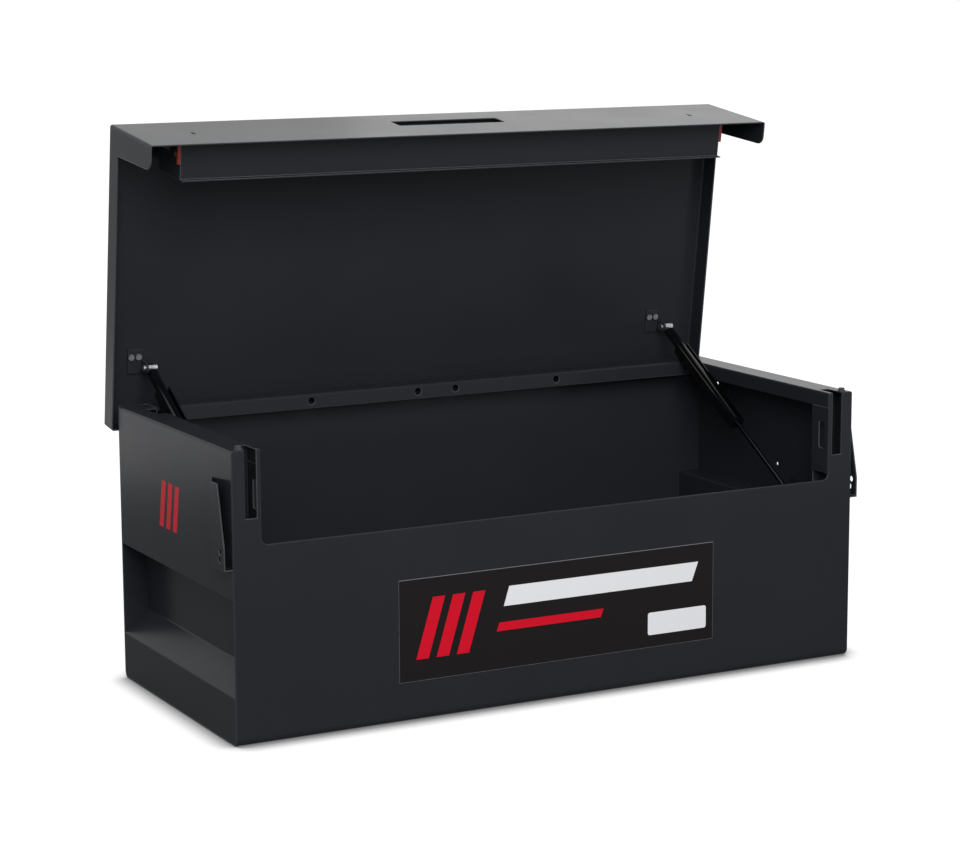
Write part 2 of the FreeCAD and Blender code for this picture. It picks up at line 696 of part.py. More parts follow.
def make_lock_case():
    """Folded channel behind the lip that holds both deadlocks, with closed ends."""
    body = new_body("lock_case_body")
    top = f"{LID_TOP} - case_drop"
    foot = f"{top} - case_height"
    front = f"{LIP} + sheet"
    rear = f"{front} + case_depth"
    wall = f"{rear} - sheet"
    # the rear wall runs on below the foot plate
    section = [(front, top), (front, f"{top} - sheet"), (wall, f"{top} - sheet"), (wall, f"{foot} + sheet"),
               (front, f"{foot} + sheet"), (front, foot), (wall, foot), (wall, f"{foot} - case_flange"),
               (rear, f"{foot} - case_flange"), (rear, top)]
    plate(body, "case_channel", "x", section, f"-{CASE_END}", CASE_END)
    round_edges(body, "case_fold", "fold_radius", "x", [(rear, top)])
    round_edges(body, "case_fold_root", INNER_FOLD, "x", [(wall, f"{top} - sheet")])
    end_wall = rectangle((front, wall), (f"{foot} + sheet", f"{top} - sheet"))
    hole = bolt_section("lock_bolt_clearance")
    for end, low, high in (("right", f"{CASE_END} - sheet", CASE_END),
                           ("left", f"-{CASE_END}", f"-{CASE_END} + sheet")):
        plate(body, f"{end}_end_wall", "x", end_wall, low, high)
        plate(body, f"{end}_bolt_gate", "x", hole, f"{low} - sheet", f"{high} + sheet", remove=True)
    keep(swing_open(body), "lock_case")


def make_deadlocks():
    """Lock bodies with a guide for the bolt and a bore for the key barrel."""
    far = f"{CASE_END} - sheet"
    near = f"{far} - lock_length"
    front = f"{LIP} + sheet"
    block = box("deadlock_block", (near, far), (front, f"{front} + lock_depth"),
                (f"{LOCK_Z} - lock_fall", f"{LOCK_Z} + lock_rise"))
    bolt_tail = f"{CASE_END} - lock_bolt_length"
    room = "lock_bolt_clearance"
    low_corner, _, high_corner, _ = bolt_section(room)
    guide = box("deadlock_guide", (f"{bolt_tail} - {room}", CASE_END), (low_corner[0], high_corner[0]),
                (low_corner[1], high_corner[1]))
    barrel_z = f"({LID_TOP} - key_slot_drop - key_slot_height / 2)"
    barrel_start = f"{front} + barrel_inset"
    barrel_end = f"{barrel_start} + barrel_length"
    bore = round_bar("deadlock_bore", "y", (KEY_X, barrel_z), "barrel_radius + barrel_clearance", LIP,
                     f"{barrel_end} + {room}")
    keep_pair(swing_open(cut("deadlock_housing", block, guide, bore)), "deadlock")

    bolt = new_body("lock_bolt_body")
    plate(bolt, "lock_bolt_bar", "x", bolt_section("0"), bolt_tail, CASE_END)
    half = "(lock_bolt_thickness / 2)"
    nose = [(CASE_END, f"{LOCK_Y} - {half}"), (CASE_END, f"{LOCK_Y} + {half}")]
    round_edges(bolt, "lock_bolt_nose_round", "lock_bolt_nose", "z", nose)
    keep_pair(swing_open(bolt), "lock_bolt")

    plug = round_bar("barrel_plug", "y", (KEY_X, barrel_z), "barrel_radius", barrel_start, barrel_end)
    keyway = box("barrel_keyway", (f"{KEY_X} - keyway_width / 2", f"{KEY_X} + keyway_width / 2"),
                 (LIP, f"{barrel_start} + keyway_depth"),
                 (f"{barrel_z} - keyway_height / 2", f"{barrel_z} + keyway_height / 2"))
    keep_pair(swing_open(cut("key_barrel_plug", plug, keyway)), "key_barrel")


def make_guide_pads():
    """Beads on the ends of the case that centre the closing lid, each on a tab held by a screw."""
    near = CASE_END
    far = f"{CASE_END} + pad_thickness"
    front = f"{LIP} + pad_setback"
    foot = f"{LID_TOP} - case_drop - case_height"
    bead_top = f"{foot} + pad_bead"
    pad = new_body("guide_pad_body")
    plate(pad, "pad_bead_bar", "x", rectangle((front, f"{front} + pad_width"), (foot, bead_top)), near, far)
    edges = [(far, front), (far, f"{front} + pad_width")]
    round_edges(pad, "pad_bead_ends", "pad_corner", "z", edges)
    centre_y = f"({front} + pad_width / 2)"
    tab_sides = (f"{centre_y} - pad_tab_width / 2", f"{centre_y} + pad_tab_width / 2")
    tab_face = f"{near} + pad_tab_thickness"
    tab = rectangle(tab_sides, (foot, f"{bead_top} + pad_tab_length"))
    plate(pad, "pad_tab", "x", tab, near, tab_face)
    middle = (centre_y, f"{bead_top} + pad_tab_length / 2")
    past = (f"{near} - sheet", f"{far} + sheet")
    disc(pad, "pad_screw_hole", "x", middle, "pad_screw_shank", *past, remove=True)
    keep_pair(swing_open(pad), "guide_pad")
    head = round_bar("pad_screw_head_disc", "x", middle, "pad_screw_radius", tab_face,
                     f"{tab_face} + pad_screw_head")
    shank = round_bar("pad_screw_shank_bar", "x", middle, "pad_screw_shank", near, tab_face)
    screw = fuse("right_pad_screw", head, shank)
    screws = group("pad_screws", screw, mirrored("left_pad_screw", screw))
    keep(swing_open(screws), "guide_pad_screws")


# ---------------------------------------------------------------- hinge


def make_hinge():
    half = HINGE_HALF
    rise = f"{HINGE_Z} + knuckle_radius"
    body_leaf = new_body("hinge_body_leaf_body")
    knuckle_clear = "knuckle_radius + knuckle_gap"
    leaf_foot = f"{rise} - leaf_thickness"
    web_end = f"{HINGE_Y} - {knuckle_clear}"
    plate(body_leaf, "body_leaf_web", "x", rectangle((BACK, web_end), (leaf_foot, rise)), f"-{half}", half)
    flange = rectangle((BACK, f"{BACK} + leaf_thickness"), (leaf_foot, f"{leaf_foot} + body_leaf_height"))
    plate(body_leaf, "body_leaf_flange", "x", flange, f"-{half}", half)
    neck = rectangle((f"{web_end} - leaf_thickness", HINGE_Y), (leaf_foot, rise))
    add_knuckles(body_leaf, "body", neck, f"-{half}", half)
    for number, place in enumerate(HINGE_BOLTS):
        disc(body_leaf, f"leaf_hole_{number}", "y", (place, HINGE_BOLT_Z), HINGE_HOLE, f"{BACK} - sheet",
             f"{BACK} + leaf_thickness + sheet", remove=True)
    keep(body_leaf, "hinge_body_leaf")

    lid_leaf = new_body("hinge_lid_leaf_body")
    drop = f"{HINGE_Z} - knuckle_radius"
    skirt_inside = f"({REAR} - sheet)"
    angle_inside = f"{skirt_inside} - leaf_thickness"
    leaf_top = f"{drop} + lid_leaf_height"
    web_top = f"{drop} + leaf_thickness"
    lid_web_end = f"{HINGE_Y} + {knuckle_clear}"
    lid_web = [(lid_web_end, drop), (skirt_inside, drop), (skirt_inside, leaf_top), (angle_inside, leaf_top),
               (angle_inside, web_top), (lid_web_end, web_top)]
    plate(lid_leaf, "lid_leaf_angle", "x", lid_web, f"-{half}", half)
    lid_neck = rectangle((HINGE_Y, f"{lid_web_end} + leaf_thickness / 2"), (drop, web_top))
    add_knuckles(lid_leaf, "lid", lid_neck, f"-{half} + {KNUCKLE}", half)
    keep(swing_open(lid_leaf), "hinge_lid_leaf")

    pin = round_bar("pin_shank", "x", (HINGE_Y, HINGE_Z), "pin_radius", f"-{half} - pin_clearance",
                    f"{half} + pin_clearance")
    heads = []
    pin_end = f"({half} + pin_clearance)"
    for end, low, high in (("left", f"-{pin_end} - pin_head_length", f"-{pin_end}"),
                           ("right", pin_end, f"{pin_end} + pin_head_length")):
        heads.append(round_bar(f"{end}_pin_head", "x", (HINGE_Y, HINGE_Z), "pin_head_radius", low, high))
    keep(fuse("hinge_pin_bar", pin, *heads), "hinge_pin")


def add_knuckles(body, owner, neck, low, high):
    """Repeat one knuckle along the leaf and bore them all for the pin."""
    start = f"{low} + knuckle_gap / 2"
    end = f"{low} + {KNUCKLE} - knuckle_gap / 2"
    first = plate(body, f"{owner}_knuckle_neck", "x", neck, start, end)
    barrel = disc(body, f"{owner}_knuckle", "x", (HINGE_Y, HINGE_Z), "knuckle_radius", start, end)
    pattern = body.newObject("PartDesign::LinearPattern", f"{owner}_knuckle_row")
    pattern.Originals = [first, barrel]
    pattern.Direction = (next(item for item in body.Origin.OriginFeatures if item.Role == "X_Axis"), [""])
    pattern.setExpression("Length", cells(f"2 * {KNUCKLE} * (knuckle_count - 1)"))
    pattern.setExpression("Occurrences", cells("knuckle_count"))
    body.Tip = pattern
    doc.recompute()
    past = (f"{low} - knuckle_gap", f"{high} + knuckle_gap")
    disc(body, f"{owner}_pin_bore", "x", (HINGE_Y, HINGE_Z), "pin_radius + pin_clearance", *past, remove=True)


def make_hinge_strip():
    """Clamp bar inside the back wall and the bolts that hold bar, wall and leaf together."""
    inner = f"{BACK} - sheet"
    face = f"{inner} - strip_thickness"
    ends = (f"-({PILLAR} - sheet)", f"{PILLAR} - sheet")
    bar = box("strip_bar", ends, (face, inner), (f"{STRIP_TOP} - strip_height", STRIP_TOP))
    holes = [
        round_bar(f"strip_hole_{number}", "y", (place, HINGE_BOLT_Z), HINGE_HOLE, f"{face} - sheet",
                  f"{inner} + sheet")
        for number, place in enumerate(HINGE_BOLTS)
    ]
    keep(cut("strip_bar_drilled", bar, *holes), "hinge_strip")
    outside = f"{BACK} + leaf_thickness"
    bolts = []
    for number, place in enumerate(HINGE_BOLTS):
        centre = (place, HINGE_BOLT_Z)
        head_top = f"{face} - bolt_head_height"
        head = round_bar(f"bolt_head_{number}", "y", centre, "bolt_head_radius", head_top, face)
        shank = round_bar(f"bolt_shank_{number}", "y", centre, "hinge_bolt_radius", face, outside)
        nut = hex_nut(f"bolt_nut_{number}", centre, outside)
        bolts.append(fuse(f"hinge_bolt_{number}", head, shank, nut))
    keep(group("hinge_bolt_row", *bolts), "hinge_bolts")


def hex_nut(name, centre, face):
    """A nut that lies against a face across Y, on its rear side."""
    nut = doc.addObject("Part::Prism", name)
    nut.Polygon = 6
    nut.setExpression("Circumradius", cells("nut_radius"))
    nut.setExpression("Height", cells("nut_height"))
    nut.Placement = FreeCAD.Placement(FreeCAD.Vector(), FreeCAD.Rotation(FreeCAD.Vector(1, 0, 0), -90))
    for letter, place in zip("xyz", (centre[0], face, centre[1])):
        nut.setExpression(f"Placement.Base.{letter}", cells(place))
    return nut


# ---------------------------------------------------------------- gas struts


def open_place(y_text, z_text):
    """Where a point of the shut lid lies when the lid is open."""
    angle = -math.radians(value("open_angle"))
    across = value(y_text) - value(HINGE_Y)
    up = value(z_text) - value(HINGE_Z)
    return (value(HINGE_Y) + across * math.cos(angle) - up * math.sin(angle),
            value(HINGE_Z) + across * math.sin(angle) + up * math.cos(angle))


def strut_span():
    """Distance between the pivots and the strut's slope with the lid open."""
    upper = open_place(UPPER_Y, UPPER_Z)
    run = upper[0] - value(LOWER_Y)
    climb = upper[1] - value(LOWER_Z)
    return math.hypot(run, climb), math.degrees(math.atan2(climb, run))


def lay_strut(piece):
    """Bring a piece drawn along -Y from the upper pivot to the open strut."""
    upper = open_place(UPPER_Y, UPPER_Z)
    turn = FreeCAD.Rotation(FreeCAD.Vector(1, 0, 0), strut_span()[1])
    piece.Placement = FreeCAD.Placement(FreeCAD.Vector(0, upper[0], upper[1]), turn)
    return piece


def make_strut(end, sign):
    """A gas spring along -Y: eye, cylinder in its channel shroud, rod and rod eye."""
    plane = f"{sign}{STRUT_X}"
    eye_sides = (f"{plane} - eye_width / 2", f"{plane} + eye_width / 2")
    eye_hole = "stud_radius + stud_clearance"
    past_eye = (f"{plane} - eye_width", f"{plane} + eye_width")
    bore = round_bar(f"{end}_eye_bore", "x", ("0", "0"), eye_hole, *past_eye)
    eye = round_bar(f"{end}_eye_ring", "x", ("0", "0"), "eye_radius", *eye_sides)
    neck = round_bar(f"{end}_eye_neck", "y", (plane, "0"), "eye_neck_radius", "-cylinder_start",
                     "-eye_radius / 2")
    foot = "-(cylinder_start + cylinder_length)"
    barrel = round_bar(f"{end}_barrel", "y", (plane, "0"), "cylinder_radius", foot, "-cylinder_start")
    room_end = "-(cylinder_start + cylinder_base)"
    rod_room = round_bar(f"{end}_rod_room", "y", (plane, "0"), "rod_radius + stud_clearance",
                         f"{foot} - sheet", room_end)
    solid = cut(f"{end}_cylinder_solid", fuse(f"{end}_cylinder_blank", eye, neck, barrel), bore, rod_room)
    keep(lay_strut(solid), f"{end}_strut_cylinder")

    # the channel is open towards the front and top, with its web behind the cylinder
    half = "(cylinder_radius + shroud_gap + shroud_wall)"
    inner = "(cylinder_radius + shroud_gap)"
    web = "-(cylinder_radius + shroud_wall)"
    across = (f"{plane} - {half}", f"{plane} + {half}")
    deep = (web, f"{web} + shroud_height")
    outside = box(f"{end}_shroud_outside", across, (foot, "-shroud_start"), deep)
    inside = box(f"{end}_shroud_inside", (f"{plane} - {inner}", f"{plane} + {inner}"),
                 (f"{foot} - sheet", "-shroud_start + sheet"),
                 (f"{web} + shroud_wall", f"{web} + 2 * shroud_height"))
    clip = box(f"{end}_shroud_clip", across, (f"{foot} - clip_length", foot), deep)
    clip_room = round_bar(f"{end}_clip_room", "y", (plane, "0"), "rod_radius + bracket_gap",
                          f"{foot} - 2 * clip_length", f"{foot} + sheet")
    channel = cut(f"{end}_shroud_channel", outside, inside)
    shroud = cut(f"{end}_shroud_solid", fuse(f"{end}_shroud_blank", channel, clip), clip_room)
    keep(lay_strut(shroud), f"{end}_strut_shroud")

    length = f"{strut_span()[0]:.6f}"
    rod = round_bar(f"{end}_rod_bar", "y", (plane, "0"), "rod_radius", f"-({length} - rod_eye_radius)",
                    f"{foot} + rod_hidden")
    eye_y = f"-{length}"
    end_ring = round_bar(f"{end}_rod_ring", "x", (eye_y, "0"), "rod_eye_radius", *eye_sides)
    end_bore = round_bar(f"{end}_rod_bore", "x", (eye_y, "0"), eye_hole, *past_eye)
    rod_solid = cut(f"{end}_rod_solid", fuse(f"{end}_rod_blank", rod, end_ring), end_bore)
    keep(lay_strut(rod_solid), f"{end}_strut_rod")
    make_rod_bolt(end, sign, eye_y)
    make_upper_bracket(end, plane)
    make_lower_bracket(end, sign)


def along(sign, near, far):
    """Two places along X counted outwards from the middle, in rising order."""
    if sign == "-":
        return f"-({far})", f"-({near})"
    return near, far


def make_rod_bolt(end, sign, eye_y):
    """Bolt through the rod's eye; its point stops just short of the spacer on the bracket."""
    centre = (eye_y, "0")
    inner = f"{STRUT_X} - eye_width / 2"
    outer = f"{STRUT_X} + eye_width / 2"
    head = round_bar(f"{end}_rod_bolt_head", "x", centre, "rod_eye_radius - sheet",
                     *along(sign, f"{inner} - stud_head_height", inner))
    shank = round_bar(f"{end}_rod_bolt_shank", "x", centre, "stud_radius", *along(sign, inner, outer))
    keep(lay_strut(fuse(f"{end}_rod_bolt_solid", head, shank)), f"{end}_rod_bolt")


def make_upper_bracket(end, plane):
    """Bracket bolted under the lid, its ear on the left of the strut, with stud and nut."""
    inside = f"({LID_TOP} - sheet)"
    ear_far = f"{plane} - eye_width / 2 - bracket_gap"
    ear_near = f"{ear_far} - bracket_sheet"
    base_near = f"{ear_far} - upper_base_width"
    front = f"{UPPER_Y} - upper_base_front"
    back = f"{UPPER_Y} + upper_base_back"
    base_face = f"{inside} - bracket_sheet"
    base = box(f"{end}_upper_base", (base_near, ear_far), (front, back), (base_face, inside))
    pivot = (UPPER_Y, UPPER_Z)
    ear = box(f"{end}_upper_ear", (ear_near, ear_far),
              (f"{UPPER_Y} - upper_ear_half", f"{UPPER_Y} + upper_ear_half"), (UPPER_Z, inside))
    ear_round = round_bar(f"{end}_upper_ear_round", "x", pivot, "upper_ear_half", ear_near, ear_far)
    past_ear = (f"{ear_near} - sheet", f"{ear_far} + sheet")
    hole = round_bar(f"{end}_upper_hole", "x", pivot, "stud_radius", *past_ear)
    blank = fuse(f"{end}_upper_blank", base, ear, ear_round)
    keep(swing_open(cut(f"{end}_upper_plate", blank, hole)), f"{end}_upper_bracket")
    nut_near = f"{plane} + eye_width / 2 + bracket_gap"
    head = round_bar(f"{end}_stud_head", "x", pivot, "stud_radius + sheet", f"{ear_near} - stud_head_height",
                     ear_near)
    shank = round_bar(f"{end}_stud_shank", "x", pivot, "stud_radius", ear_near, nut_near)
    cap = round_bar(f"{end}_stud_nut", "x", pivot, "nut_radius", nut_near, f"{nut_near} + nut_height")
    keep(swing_open(fuse(f"{end}_stud_solid", head, shank, cap)), f"{end}_upper_stud")
    heads = []
    middle = f"({ear_near} + {base_near}) / 2"
    for number, step in enumerate(("-", "+")):
        x_place = f"{middle} {step} upper_bolt_spacing / 2"
        y_place = f"{UPPER_Y} - upper_bolt_setback"
        heads.append(upper_screw(f"{end}_upper_screw_{number}", x_place, y_place, base_face))
    keep(swing_open(group(f"{end}_upper_screws", *heads)), f"{end}_upper_bracket_bolts")


def upper_screw(name, x_place, y_place, face):
    """A screw head that hangs under the bracket's base."""
    head = doc.addObject("Part::Cylinder", name)
    head.setExpression("Radius", cells("upper_bolt_head_radius"))
    head.setExpression("Height", cells("upper_bolt_head_height"))
    places = (x_place, y_place, f"{face} - upper_bolt_head_height")
    for letter, place in zip("xyz", places):
        head.setExpression(f"Placement.Base.{letter}", cells(place))
    return head


def make_lower_bracket(end, sign):
    """Angle bracket on the shelf over the recess, with a spacer that meets the rod's eye."""
    wall_face = f"({SIDE} - recess_depth - sheet)"
    near = f"{wall_face} + lower_wall_gap"
    ear_far = f"{near} + bracket_sheet"
    sides = (f"{LOWER_Y} - lower_half_length", f"{LOWER_Y} + lower_half_length")
    ear_top = f"{LOWER_Z} + lower_half_length"
    base = box(f"{end}_lower_base", along(sign, near, f"{near} + lower_base_width"), sides,
               ("recess_ceiling", "recess_ceiling + bracket_sheet"))
    ear = box(f"{end}_lower_ear", along(sign, near, ear_far), sides, ("recess_ceiling", ear_top))
    keep(fuse(f"{end}_lower_plate", base, ear), f"{end}_lower_bracket")
    tip = f"{STRUT_X} + eye_width / 2 + bracket_gap"
    centre = (LOWER_Y, LOWER_Z)
    spacer = round_bar(f"{end}_spacer_bar", "x", centre, "lower_spacer_radius", *along(sign, tip, near))
    keep(spacer, f"{end}_lower_spacer")


# ---------------------------------------------------------------- build, check and write


make_front_panel()
make_back_panel()
make_floor_pan()
make_side_panels()
make_recess_liners()
make_pillar_backs()
make_cheek_guards()
make_lid_buffers()
make_lid_panel()
make_lock_case()
make_deadlocks()
make_guide_pads()
make_hinge()
make_hinge_strip()
make_strut("right", "")
make_strut("left", "-")
doc.recompute()

for item in doc.Objects:
    if "Invalid" in item.State or "Error" in item.State:
        raise RuntimeError(f"{item.Label} failed: {item.State}")

os.makedirs("parts", exist_ok=True)
for piece in NODES:
    shape = piece.Shape
    if shape.isNull() or not shape.isValid():
        raise RuntimeError(f"{piece.Label} has no valid shape")
for piece in NODES:
    piece.Shape.exportStep(f"parts/{piece.Label}.step")
print(len(NODES), "pieces written")
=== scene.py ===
import math

import bmesh
import bpy
from mathutils import Matrix, Vector


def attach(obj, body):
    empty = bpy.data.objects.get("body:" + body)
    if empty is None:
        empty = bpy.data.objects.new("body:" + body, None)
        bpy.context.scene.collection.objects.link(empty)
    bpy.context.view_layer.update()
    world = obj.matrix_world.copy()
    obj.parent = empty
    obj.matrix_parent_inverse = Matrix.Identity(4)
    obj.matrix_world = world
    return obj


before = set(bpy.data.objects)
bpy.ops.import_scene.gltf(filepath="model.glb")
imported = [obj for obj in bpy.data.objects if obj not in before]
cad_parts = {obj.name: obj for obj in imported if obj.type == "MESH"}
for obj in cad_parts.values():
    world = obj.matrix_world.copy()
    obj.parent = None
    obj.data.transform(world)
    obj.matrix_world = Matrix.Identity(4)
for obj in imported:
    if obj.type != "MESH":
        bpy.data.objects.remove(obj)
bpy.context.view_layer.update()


# ---------------------------------------------------------------- body sheets
# The shell: front and back walls, floor pan, end walls, folded recess liners and pillar backs, with the hinge
# strip. Mild-steel sheet 2 mm thick, bent on a press brake, seam-welded, then sprayed and stoved as one piece
# with a fine-texture anthracite powder coat, so no fixing shows.


def to_linear(colour):
    """An sRGB hex colour as the linear RGBA that shaders take."""
    channels = [int(colour[start:start + 2], 16) / 255 for start in (1, 3, 5)]
    return tuple(c / 12.92 if c <= 0.04045 else ((c + 0.055) / 1.055) ** 2.4 for c in channels) + (1.0,)


def add_node(tree, kind, inputs=None, **settings):
    """Add a node with its settings; an input is a value or the output of another node."""
    node = tree.nodes.new(kind)
    for name, setting in settings.items():
        setattr(node, name, setting)
    for name, given in (inputs or {}).items():
        if isinstance(given, bpy.types.NodeSocket):
            tree.links.new(given, node.inputs[name])
        else:
            node.inputs[name].default_value = given
    return node


def new_finish(name, **constants):
    """A material, its node tree, its shader and the object coordinates that its patterns follow."""
    material = bpy.data.materials.new(name)
    material.use_nodes = True
    tree = material.node_tree
    shader = tree.nodes["Principled BSDF"]
    for socket, number in constants.items():
        shader.inputs[socket.replace("_", " ")].default_value = number
    place = add_node(tree, "ShaderNodeTexCoord").outputs["Object"]
    return material, tree, shader, place


def dress(material, *names):
    """Give CAD pieces a finish, leaving their meshes alone."""
    for name in names:
        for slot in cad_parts[name].material_slots:
            slot.material = material


def both_ends(*names):
    return [f"{end}_{name}" for name in names for end in ("left", "right")]


def powder_coat(name, base, light, edge_highlight, grain_mm=1.3):
    """Stoved powder: a fine orange-peel skin, faint cloudiness, and a painted highlight of paler edges."""
    material, tree, shader, place = new_finish(name, Specular_IOR_Level=0.09, Roughness=0.23)
    # a dark satin skin that goes glassy only where it is seen edge-on; the powder's texture is about 0.4 mm
    # across and is drawn coarser so that it shows
    grain = add_node(tree, "ShaderNodeTexNoise", {"Vector": place, "Scale": 1000 / grain_mm, "Detail": 2.0,
                                                  "Roughness": 0.6})
    cloud = add_node(tree, "ShaderNodeTexNoise", {"Vector": place, "Scale": 1000 / 160, "Detail": 3.0})
    shade = add_node(tree, "ShaderNodeMapRange", {"Value": cloud.outputs["Fac"], "From Min": 0.1,
                                                  "From Max": 0.9, "To Min": 0.0, "To Max": 0.6})
    speck = add_node(tree, "ShaderNodeMapRange", {"Value": grain.outputs["Fac"], "From Min": 0.3,
                                                  "From Max": 0.7, "To Min": 0.0, "To Max": 0.45})
    mixed = add_node(tree, "ShaderNodeMath", {0: shade.outputs["Result"], 1: speck.outputs["Result"]},
                     operation="ADD")
    colour = add_node(tree, "ShaderNodeMix", {"Factor": mixed.outputs["Value"], "A": to_linear(base),
                                              "B": to_linear(light)}, data_type="RGBA")
    # painted highlight: a hair-thin paler colour along every fold and cut edge, where they would catch light
    soft_edge = add_node(tree, "ShaderNodeBevel", {"Radius": 0.0025}, samples=6)
    flat_side = add_node(tree, "ShaderNodeNewGeometry")
    turn = add_node(tree, "ShaderNodeVectorMath", {0: soft_edge.outputs["Normal"],
                                                   1: flat_side.outputs["Normal"]}, operation="DOT_PRODUCT")
    painted_edge_highlight = add_node(tree, "ShaderNodeMapRange", {"Value": turn.outputs["Value"], "From Min": 0.98,
                                                 "From Max": 0.86, "To Min": 0.0, "To Max": edge_highlight})
    edged = add_node(tree, "ShaderNodeMix", {"Factor": painted_edge_highlight.outputs["Result"], "A": colour.outputs["Result"],
                                             "B": to_linear("#6f7277")}, data_type="RGBA")
    tree.links.new(edged.outputs["Result"], shader.inputs["Base Color"])
    sheen = add_node(tree, "ShaderNodeMapRange", {"Value": cloud.outputs["Fac"], "From Min": 0.2,
                                                  "From Max": 0.7, "To Min": 0.2, "To Max": 0.26})
    tree.links.new(sheen.outputs["Result"], shader.inputs["Roughness"])
    bump = add_node(tree, "ShaderNodeBump", {"Height": grain.outputs["Fac"], "Strength": 0.1,
                                             "Distance": 0.0002, "Normal": soft_edge.outputs["Normal"]})
    tree.links.new(bump.outputs["Normal"], shader.inputs["Normal"])
    return material


# the body's coat, with a strong painted highlight along its edges
ANTHRACITE = powder_coat("anthracite_powder_coat", "#24262a", "#2a2c31", edge_highlight=0.7)
dress(ANTHRACITE, "front_panel", "back_panel", "floor_pan", "hinge_strip",
      *both_ends("recess_liner", "pillar_back"))
# the end walls get a weaker painted edge highlight, so their lines are fainter
END_WALL_COAT = powder_coat("anthracite_powder_coat_ends", "#24262a", "#2a2c31", edge_highlight=0.35)
dress(END_WALL_COAT, *both_ends("side_panel"))


# ---------------------------------------------------------------- cheek guards and buffers
# Folded guards that shield the ends of the lid's lip from a crowbar, welded to the end walls and coated with
# the body; and two small round grey rubber buffers on the pillar tops, which the closing lid lands on.
dress(ANTHRACITE, *both_ends("cheek_guard"))

# soft dull grey without a highlight
RUBBER, rubber_tree, rubber_shader, rubber_place = new_finish("moulded_grey_rubber", Roughness=0.78,
                                                              Specular_IOR_Level=0.3)
rubber_grain = add_node(rubber_tree, "ShaderNodeTexNoise", {"Vector": rubber_place, "Scale": 1000 / 0.9,
                                                            "Detail": 2.0})
rubber_colour = add_node(rubber_tree, "ShaderNodeMix", {"Factor": rubber_grain.outputs["Fac"],
                                                        "A": to_linear("#3a3b3c"), "B": to_linear("#4a4b4c")},
                         data_type="RGBA")
rubber_tree.links.new(rubber_colour.outputs["Result"], rubber_shader.inputs["Base Color"])
dress(RUBBER, *both_ends("lid_buffer"))


# ---------------------------------------------------------------- hinge
# A continuous hinge of rolled steel strip on a 6 mm pin, bright zinc plated. Six black bolts clamp its body
# leaf, the back wall and the strip inside it together, and are reached through the six holes in the back
# wall's rim.


def plated_steel(name, base, light, roughness, grain_mm):
    """Ground or plated metal: fine drawn streaks and a slightly uneven brightness."""
    material, tree, shader, place = new_finish(name, Metallic=1.0, Roughness=roughness)
    streak_room = add_node(tree, "ShaderNodeMapping", {"Vector": place, "Scale": (0.15, 1.0, 1.0)})
    streaks = add_node(tree, "ShaderNodeTexNoise", {"Vector": streak_room.outputs["Vector"],
                                                    "Scale": 1000 / grain_mm, "Detail": 3.0})
    colour = add_node(tree, "ShaderNodeMix", {"Factor": streaks.outputs["Fac"], "A": to_linear(base),
                                              "B": to_linear(light)}, data_type="RGBA")
    tree.links.new(colour.outputs["Result"], shader.inputs["Base Color"])
    gloss = add_node(tree, "ShaderNodeMapRange", {"Value": streaks.outputs["Fac"], "To Min": roughness - 0.08,
                                                  "To Max": roughness + 0.1})
    tree.links.new(gloss.outputs["Result"], shader.inputs["Roughness"])
    bump = add_node(tree, "ShaderNodeBump", {"Height": streaks.outputs["Fac"], "Strength": 0.1,
                                             "Distance": 0.0004})
    tree.links.new(bump.outputs["Normal"], shader.inputs["Normal"])
    return material


# a cold grey that mirrors the room softly
BRIGHT_ZINC = plated_steel("bright_zinc_plate", "#9b9ea2", "#c6c9cc", roughness=0.34, grain_mm=1.2)
dress(BRIGHT_ZINC, "hinge_body_leaf", "hinge_lid_leaf", "hinge_pin")


def dark_metal(name, base, light, roughness, specular):
    """Dark finish on steel with a faint mottle."""
    material, tree, shader, place = new_finish(name, Specular_IOR_Level=specular, Roughness=roughness)
    mottle = add_node(tree, "ShaderNodeTexNoise", {"Vector": place, "Scale": 1000 / 2.5, "Detail": 3.0})
    colour = add_node(tree, "ShaderNodeMix", {"Factor": mottle.outputs["Fac"], "A": to_linear(base),
                                              "B": to_linear(light)}, data_type="RGBA")
    tree.links.new(colour.outputs["Result"], shader.inputs["Base Color"])
    gloss = add_node(tree, "ShaderNodeMapRange", {"Value": mottle.outputs["Fac"], "To Min": roughness - 0.07,
                                                  "To Max": roughness + 0.09})
    tree.links.new(gloss.outputs["Result"], shader.inputs["Roughness"])
    bump = add_node(tree, "ShaderNodeBump", {"Height": mottle.outputs["Fac"], "Strength": 0.05,
                                             "Distance": 0.0001})
    tree.links.new(bump.outputs["Normal"], shader.inputs["Normal"])
    return material


# oily near-black with a broad, weak highlight
BLACK_OXIDE = dark_metal("black_oxide_steel", "#0d0e0f", "#17181a", roughness=0.42, specular=0.5)
dress(BLACK_OXIDE, "hinge_bolts")


# ---------------------------------------------------------------- lid
# A shallow folded tray with a deep front lip, cut for the handle slot and the two key holes, with the folded
# lock case welded behind the lip. Same sheet and same powder coat as the body, stoved apart from it.
dress(ANTHRACITE, "lid_panel", "lock_case")


# ---------------------------------------------------------------- locks
# Two five-lever deadlocks of plated steel, bolted inside the ends of the case, each with a brass key barrel
# behind its key hole; and red nylon guide pads on the case ends, each held by one brass screw.
dress(BRIGHT_ZINC, *both_ends("deadlock", "lock_bolt"))

# warm yellow glints at the screws and behind the key holes
BRASS = plated_steel("turned_brass", "#a98a3f", "#d3b267", roughness=0.28, grain_mm=0.8)
dress(BRASS, "guide_pad_screws", *both_ends("key_barrel"))

